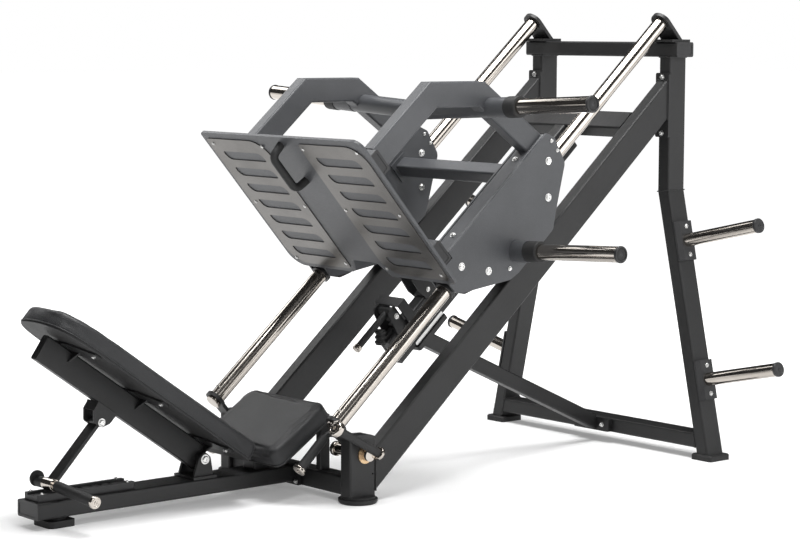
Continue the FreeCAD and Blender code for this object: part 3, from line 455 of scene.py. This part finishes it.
# ------------------------------------------------------------------ cushions
BOARD_T = 5 * MM
CLOTH_FRAMES = 20
PRESSURE = 4.0
SWELL_CAP = 4 * MM           # most that the simulation may move the cover
EASE_STEPS = 24              # passes that even out the simulated swelling
OUTLINE_STEP = 4 * MM
CROWN = 14.0                 # radius of the top edge before the simulation, mm
HELD = 6 * MM                # height of the band above the seam that is held
PART_HELD = 0.35             # how firmly the next band is held
HEAD_LENGTH = 320            # mm of the back cushion's head end whose outline is rounded
BOARD_PROFILE = ((4.0, 0.2), (2.6, 0.8), (2.0, 2.2), (2.0, 5.6))    # inset, height in mm
SEAM_HEIGHT, SEAM_R, SEAM_INSET = 7.5, 1.9, 0.4                      # mm


def eased(loop, limit, passes=160):
    """Rounds the part of a closed outline whose first coordinate is under limit."""
    n = len(loop)
    for _ in range(passes):
        loop = [p if p.x > limit else p * 0.5 + (loop[i - 1] + loop[(i + 1) % n]) * 0.25
                for i, p in enumerate(loop)]
    return loop


class Pad:
    """One cushion: its CAD node, its plane and what is built on it."""

    def __init__(self, node, along, normal, body, ease_from=None):
        self.node = node
        self.along = along
        self.normal = normal
        self.body = body
        points = [v.co for v in NODES[node].data.vertices]
        heights = [p.dot(normal) for p in points]
        self.low = min(heights)
        self.top = max(heights)
        outline = hull_2d([(p.dot(along), p.y) for p in points])
        self.loop = resample(outline, OUTLINE_STEP)
        if ease_from is not None:
            self.loop = eased(self.loop, min(p.x for p in self.loop) + ease_from * MM)

    def point(self, p, height):
        """Row-frame point from the outline's plane and a height over the base."""
        return (self.along * p[0] + Vector((0, p[1], 0))
                + self.normal * (self.low + height))

    def rings(self, levels):
        """Rings of points, one for each (inset, height) in millimetres."""
        return [[self.point(p, height * MM) for p in inset(self.loop, step * MM)]
                for step, height in levels]


def simulate(obj, pinned):
    """Inflates a closed mesh with cloth and keeps its evened-out swelling under a cap."""
    rest = [v.co.copy() for v in obj.data.vertices]
    group = obj.vertex_groups.new(name="pinned")
    for i, weight in pinned.items():
        group.add([i], weight, "REPLACE")
    cloth = obj.modifiers.new("cloth", "CLOTH")
    settings = cloth.settings
    settings.quality = 6
    settings.mass = 0.25
    settings.tension_stiffness = 22
    settings.compression_stiffness = 22
    settings.shear_stiffness = 12
    settings.bending_stiffness = 3.0
    settings.use_pressure = True
    settings.uniform_pressure_force = PRESSURE
    settings.vertex_group_mass = "pinned"
    settings.effector_weights.gravity = 0
    cloth.collision_settings.use_collision = False
    cloth.point_cache.frame_start = 1
    cloth.point_cache.frame_end = CLOTH_FRAMES
    scene = bpy.context.scene
    for number in range(1, CLOTH_FRAMES + 1):
        scene.frame_set(number)
    apply_modifiers(obj)
    scene.frame_set(1)
    swell = [(v.co - old).dot(v.normal) for v, old in zip(obj.data.vertices, rest)]
    around = [[] for _ in rest]
    for edge in obj.data.edges:
        a, b = edge.vertices
        around[a].append(b)
        around[b].append(a)
    for _ in range(EASE_STEPS):
        swell = [0.5 * s + 0.5 * sum(swell[j] for j in near) / len(near) if near else s
                 for s, near in zip(swell, around)]
    normals = [v.normal.copy() for v in obj.data.vertices]
    for v, old, normal, s in zip(obj.data.vertices, rest, normals, swell):
        v.co = old + normal * max(-SWELL_CAP, min(SWELL_CAP, s))


def blank(name, pad, crown):
    """Straight-sided block of a pad above its board, its top edge rounded by crown mm."""
    height = (pad.top - pad.low) / MM
    base = BOARD_T / MM
    levels = [(0.8, base), (0.0, base + 0.8), (0.0, height / 2)]
    for k in range(7):
        turn = math.radians(15 * k)
        levels.append((crown * (1 - math.cos(turn)), height - crown * (1 - math.sin(turn))))
    return lofted(name, pad.rings(levels))


def cushion(name, pad, voxel):
    """Crowned, simulated cover that is held along its seam just above the base board."""
    base = pad.low + BOARD_T
    obj = new_object(name, blank(name, pad, CROWN), VINYL, pad.body)
    remesh = obj.modifiers.new("remesh", "REMESH")
    remesh.mode = "VOXEL"
    remesh.voxel_size = voxel * 1
    apply_modifiers(obj)
    pinned = {}
    for v in obj.data.vertices:
        h = v.co.dot(pad.normal) - base
        if h < HELD:
            pinned[v.index] = 1.0
        elif h < 2 * HELD:
            pinned[v.index] = PART_HELD
    simulate(obj, pinned)
    smooth = obj.modifiers.new("smooth", "SMOOTH")
    smooth.factor = 0.5
    smooth.iterations = 2
    detail = obj.modifiers.new("detail", "SUBSURF")
    detail.levels = 1
    detail.render_levels = 1
    apply_modifiers(obj)
    shade_smooth(obj.data)
    obj.data.materials.clear()
    obj.data.materials.append(VINYL)
    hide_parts(pad.node)


def base_board(name, pad):
    """Covered plywood board under a cushion, with a rounded lower edge."""
    new_object(name, lofted(name, pad.rings(BOARD_PROFILE)), RUBBER, pad.body)


def seam(name, pad):
    """Thin piping that closes the seam between the cover and the base."""
    path = pad.rings([(SEAM_INSET, SEAM_HEIGHT)])[0]
    new_object(name, sweep(name, path, SEAM_R * MM, True), VINYL, pad.body)


BACK_ALONG, BACK_NORMAL = slope(-BACK_DEG)
SEAT_ALONG, SEAT_NORMAL = slope(SEAT_DEG)
BACK = Pad("backrest_pad", BACK_ALONG, BACK_NORMAL, "backrest", HEAD_LENGTH)
SEAT = Pad("seat_pad", SEAT_ALONG, SEAT_NORMAL, "frame")
cushion("back_cushion", BACK, 5 * MM)
cushion("seat_cushion", SEAT, 4.5 * MM)
base_board("back_board", BACK)
base_board("seat_board", SEAT)
seam("back_seam", BACK)
seam("seat_seam", SEAT)


# --------------------------------------------------------------------- welds
LEG_X = (1107.0, 1187.0)     # front and rear faces of the rear uprights, mm
KINK_Z = 896.0               # height where the rear legs start to splay
TOP_Z = 1347.0               # underside of the top crossbar
CROSSBAR_Z = (88, 38)        # top and underside of the rear crossbar
LEG_HALF = 25.6              # half the width of a splayed leg, measured level
POST_REAR_X = -172.0         # rear face of the front posts
FLANGE_X = 1097.0            # front face of the upper flange plates
BEAM_N = (-252, -152)        # underside and top of the sloping beams, from the rail axes
BEAD_R = 2.6 * MM
KINK_BEAD_R = 2.0 * MM
BEAD_STEP = 1.25 * MM


def bead(name, points, closed=False, radius=BEAD_R):
    """Weld bead through the given millimetre points, with the scales of the run."""
    corners = [Vector(p) * MM for p in points]
    if closed:
        corners.append(corners[0])
    path = []
    for a, b in zip(corners, corners[1:]):
        steps = max(1, round((b - a).length / BEAD_STEP))
        path += [a.lerp(b, k / steps) for k in range(steps)]
    if not closed:
        path.append(corners[-1])
    mesh = sweep(name, path, radius, closed, ripple=0.16)
    new_object(name, mesh, FRAME_PAINT, "frame")


def beam_z(x, n):
    """Height of a line at rail-normal n where it passes x (row millimetres)."""
    origin = RAIL_0 / MM
    s = (x - origin.x + n * math.sin(math.radians(RAIL_DEG))) / RAIL_S.x
    return s * RAIL_S.z + n * RAIL_N.z


def beam_end(name, x, inner, outer):
    """Bead over the sides and top of a sloping beam where it meets the plane at x."""
    low, high = BEAM_N
    bead(name, [(x, y, beam_z(x, n)) for y, n in ((outer, low), (outer, high), (inner, high),
                                                  (inner, low))])


def frame_welds():
    """Beads of the rear frame and of the sloping beams."""
    for side, tag in ((1, "left"), (-1, "right")):
        inner, outer = side * (RAIL_Y / MM - TUBE_HALF), side * (RAIL_Y / MM + TUBE_HALF)
        x0, x1 = LEG_X
        drop = TUBE_HALF * LEG_SPLAY / 2
        bead("weld_kink_" + tag, [(x0, inner, KINK_Z - drop), (x0, outer, KINK_Z + drop),
                                  (x1, outer, KINK_Z + drop), (x1, inner, KINK_Z - drop)],
             True, KINK_BEAD_R)
        bead("weld_top_" + tag, [(x0, inner, TOP_Z), (x0, outer, TOP_Z), (x1, outer, TOP_Z),
                                 (x1, inner, TOP_Z)], True)
        beam_end("weld_post_" + tag, POST_REAR_X, inner, outer)
        beam_end("weld_flange_" + tag, FLANGE_X, inner, outer)
        high, low = CROSSBAR_Z
        y_high, y_low = (side * (RAIL_Y / MM - LEG_HALF + LEG_SPLAY * (KINK_Z - z))
                         for z in CROSSBAR_Z)
        bead("weld_foot_" + tag, [(x1, y_high, high), (x0, y_high, high), (x0, y_low, low)])


# --------------------------------------------------------------- turned parts
def turned(name, origin, axis, profile, material, body, slot, count=64):
    """Lathe-turned piece; the profile lists (radius, height) in millimetres."""
    axis = axis.normalized()
    u = axis.orthogonal().normalized()
    v = axis.cross(u)
    bm = bmesh.new()
    rings = []
    for radius, height in profile:
        centre = origin + axis * (height * MM)
        if radius < 0.01:
            rings.append([bm.verts.new(centre)])
            continue
        rings.append([bm.verts.new(centre + (u * math.cos(t) + v * math.sin(t)) * radius * MM)
                      for t in (2 * math.pi * k / count for k in range(count))])
    for low, high in zip(rings, rings[1:]):
        for k in range(count):
            after = (k + 1) % count
            if len(low) == 1:
                bm.faces.new((low[0], high[after], high[k]))
            elif len(high) == 1:
                bm.faces.new((low[k], low[after], high[0]))
            else:
                bm.faces.new((low[k], low[after], high[after], high[k]))
    mesh = finished(name, bm)
    shade_smooth(mesh)
    mesh.set_sharp_from_angle(angle=math.radians(38))
    return new_object(name, mesh, material, body)


def islands(node):
    """Centre and vertices of each separate solid in a CAD node's mesh."""
    mesh = NODES[node].data
    parent = {}

    def find(i):
        while parent.setdefault(i, i) != i:
            parent[i] = parent[parent[i]]
            i = parent[i]
        return i

    keys = [tuple(round(c, 5) for c in v.co) for v in mesh.vertices]
    for edge in mesh.edges:
        a, b = (find(keys[i]) for i in edge.vertices)
        parent[a] = b
    groups = {}
    for key in set(keys):
        groups.setdefault(find(key), []).append(Vector(key))
    out = []
    for points in groups.values():
        lo = [min(p[i] for p in points) for i in range(3)]
        hi = [max(p[i] for p in points) for i in range(3)]
        out.append(((Vector(lo) + Vector(hi)) / 2, points))
    return sorted(out, key=lambda g: (round(g[0].z, 4), round(g[0].y, 4)))


HORN_TILT = 3.0
LEVER_DEG = 150.6            # direction of the safety lever's bar
HANDLE_DIP = (-115, 0, -105)         # direction of the side handles' ends
STRUT_GRIP = (0.066, -0.99, -0.106)  # direction of the strut's hand grip
# (radius, height) in millimetres over the inner and outer face of a horn cap
CAP_PROFILE = ((0, -0.5), (23.5, -0.5), (25.8, 0.6), (26.4, 2.2), (26.4, 6.6), (25.6, 8.4),
               (23.8, 9.3), (21.2, 9.3), (20.4, 8.4), (20.0, 6.4), (18.6, 6.0), (8.5, 6.0),
               (8.0, 6.5), (7.2, 6.9), (0, 6.9))
DISC_PROFILE = ((0, 6.3), (17.6, 6.3), (18.2, 6.6), (18.2, 6.9), (17.4, 7.2), (9.4, 7.2),
                (9.0, 6.8), (0, 6.8))


def horn_end_caps():
    """Moulded end caps of the four plate horns, each with a raised disc in its recess."""
    tilt = math.radians(HORN_TILT)
    for k, (centre, points) in enumerate(islands("horn_caps")):
        out = Vector((0, math.copysign(math.cos(tilt), centre.y), math.sin(tilt)))
        near = min(p.dot(out) for p in points)
        root = centre + out * (near - centre.dot(out))
        cap = turned("horn_cap_%d" % k, root, out, CAP_PROFILE, PLASTIC, "carriage",
                     "plastic_black")
        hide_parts("horn_caps")
        turned("horn_cap_disc_%d" % k, root, out, DISC_PROFILE, RUBBER, "carriage",
               "rubber_black")


def end_centre(points, axis):
    """Middle of the flat end of a solid, the furthest along an axis."""
    far = max(p.dot(axis) for p in points)
    ring = [p for p in points if far - p.dot(axis) < 0.3 * MM]
    return sum(ring, Vector()) / len(ring)


def screw_detail(name, points, axis, radius, material, body, slot):
    """Turned rim and central socket screw on the flat end of a cap."""
    profile = ((radius, -0.3), (radius, 0.5), (radius - 0.7, 0.9), (radius - 2.6, 0.9),
               (radius - 3.2, 0.2), (5.6, 0.2), (5.4, 1.5), (4.6, 1.9), (3.1, 1.9),
               (2.8, 0.6), (0, 0.6))
    return turned(name, end_centre(points, axis), axis, profile, material, body, slot)


def end_details():
    """Rims and screws on the chromed ends and on the caps of the storage pegs."""
    grip = math.radians(LEVER_DEG)
    lever = Vector((math.cos(grip), 0, math.sin(grip)))
    screw_detail("lever_cap_screw", islands("safety_lever")[0][1], lever, 17.0, CHROME_BAR,
                 "lever", "chrome")
    handle = Vector(HANDLE_DIP).normalized()
    for k, (_, points) in enumerate(islands("side_handle_caps")):
        screw_detail("handle_cap_screw_%d" % k, points, handle, 15.5, CHROME_BAR, "frame",
                     "chrome")
    foot = Vector(STRUT_GRIP).normalized()
    grip_cap = min(islands("strut_hub"), key=lambda g: g[0].y)[1]
    screw_detail("strut_cap_screw", grip_cap, foot, 14.0, CHROME_BAR, "strut", "chrome")
    for k, (centre, points) in enumerate(islands("storage_horn_caps")):
        tilt = math.atan(LEG_SPLAY)
        out = Vector((0, math.copysign(math.cos(tilt), centre.y), math.sin(tilt)))
        screw_detail("storage_cap_rim_%d" % k, points, out, 19.5, PLASTIC, "frame",
                     "plastic_black")


frame_welds()
horn_end_caps()
end_details()


# --------------------------------------------------------------------- stage
FLOOR_REACH = 60.0
FLOOR_GLOW = 0.22            # glow of the floor under the machine; 1 further out
GLOW_FROM, GLOW_TO = 1.6, 4.2
WORLD_DIM = 0.05             # what lights and reflections see of the white surround
# name, place, aim, size, power
LAMPS = (("back", (0.2, 4.6, 4.0), (-0.4, 0, 0.5), 2.6, 72),
         ("side", (3.6, -5.4, 2.3), (0.2, 0, 0.7), 3.6, 120),
         ("key", (-2.2, -5.6, 3.2), (-0.2, 0, 0.5), 2.8, 95),
         ("top", (0.2, -0.4, 5.0), (0, 0, 0), 3.4, 430))
CAMERA_PLACE = Vector((-4.58495, -5.65825, 1.43224))
CAMERA_YAW, CAMERA_PITCH, CAMERA_ROLL = 40.26, -5.96, 0.19
CAMERA_LENS = 103.37


def backdrop_floor():
    """Pale floor whose glow hides the horizon and leaves soft shadows near the machine."""
    mesh = bpy.data.meshes.new("floor")
    reach = FLOOR_REACH
    mesh.from_pydata([(-reach, -reach, 0), (reach, -reach, 0), (reach, reach, 0),
                      (-reach, reach, 0)], [], [(0, 1, 2, 3)])
    ground = bpy.data.objects.new("floor", mesh)
    bpy.context.scene.collection.objects.link(ground)
    m = Shader("pale_floor", rough=0.7)
    m.colour((0.80, 0.80, 0.80))
    far = m.node("ShaderNodeVectorMath", operation="LENGTH")
    m.link(m.coord, far.inputs[0])
    m.bsdf.inputs["Emission Color"].default_value = (1, 1, 1, 1)
    glow = m.ramp(far.outputs["Value"], GLOW_FROM, GLOW_TO, FLOOR_GLOW, 1.0)
    m.link(glow, m.bsdf.inputs["Emission Strength"])
    mesh.materials.append(m.mat)


def surround():
    """White to the camera, dim to everything else, so that chrome has contrast."""
    world = bpy.data.worlds.new("surround")
    world.use_nodes = True
    tree = world.node_tree
    background = tree.nodes["Background"]
    background.inputs[0].default_value = (1, 1, 1, 1)
    path = tree.nodes.new("ShaderNodeLightPath")
    level = tree.nodes.new("ShaderNodeMapRange")
    level.inputs["To Min"].default_value = WORLD_DIM
    level.inputs["To Max"].default_value = 1.0
    tree.links.new(path.outputs["Is Camera Ray"], level.inputs["Value"])
    tree.links.new(level.outputs[0], background.inputs[1])
    bpy.context.scene.world = world


def lamps():
    """Soft boxes on both sides and overhead."""
    for name, place, aim, size, power in LAMPS:
        lamp = bpy.data.lights.new(name, "AREA")
        lamp.energy = power
        lamp.size = size
        light = bpy.data.objects.new(name, lamp)
        light.location = place
        way = Vector(aim) - Vector(place)
        light.rotation_euler = way.to_track_quat("-Z", "Y").to_euler()
        bpy.context.scene.collection.objects.link(light)


def camera():
    """Camera matched to the photo."""
    yaw, pitch, roll = (math.radians(v) for v in (CAMERA_YAW, CAMERA_PITCH, CAMERA_ROLL))
    ahead = Vector((math.sin(yaw) * math.cos(pitch), math.cos(yaw) * math.cos(pitch),
                    math.sin(pitch)))
    right = Vector((math.cos(yaw), -math.sin(yaw), 0))
    up = right.cross(ahead)
    x = right * math.cos(roll) + up * math.sin(roll)
    y = up * math.cos(roll) - right * math.sin(roll)
    lens = bpy.data.cameras.new("camera")
    lens.sensor_width = 36
    lens.lens = CAMERA_LENS
    obj = bpy.data.objects.new("camera", lens)
    bpy.context.scene.collection.objects.link(obj)
    place = Matrix((x, y, -ahead)).transposed().to_4x4()
    place.translation = CAMERA_PLACE
    obj.matrix_world = place
    bpy.context.scene.camera = obj


backdrop_floor()
surround()
lamps()
camera()
bpy.context.scene.view_settings.view_transform = "Standard"
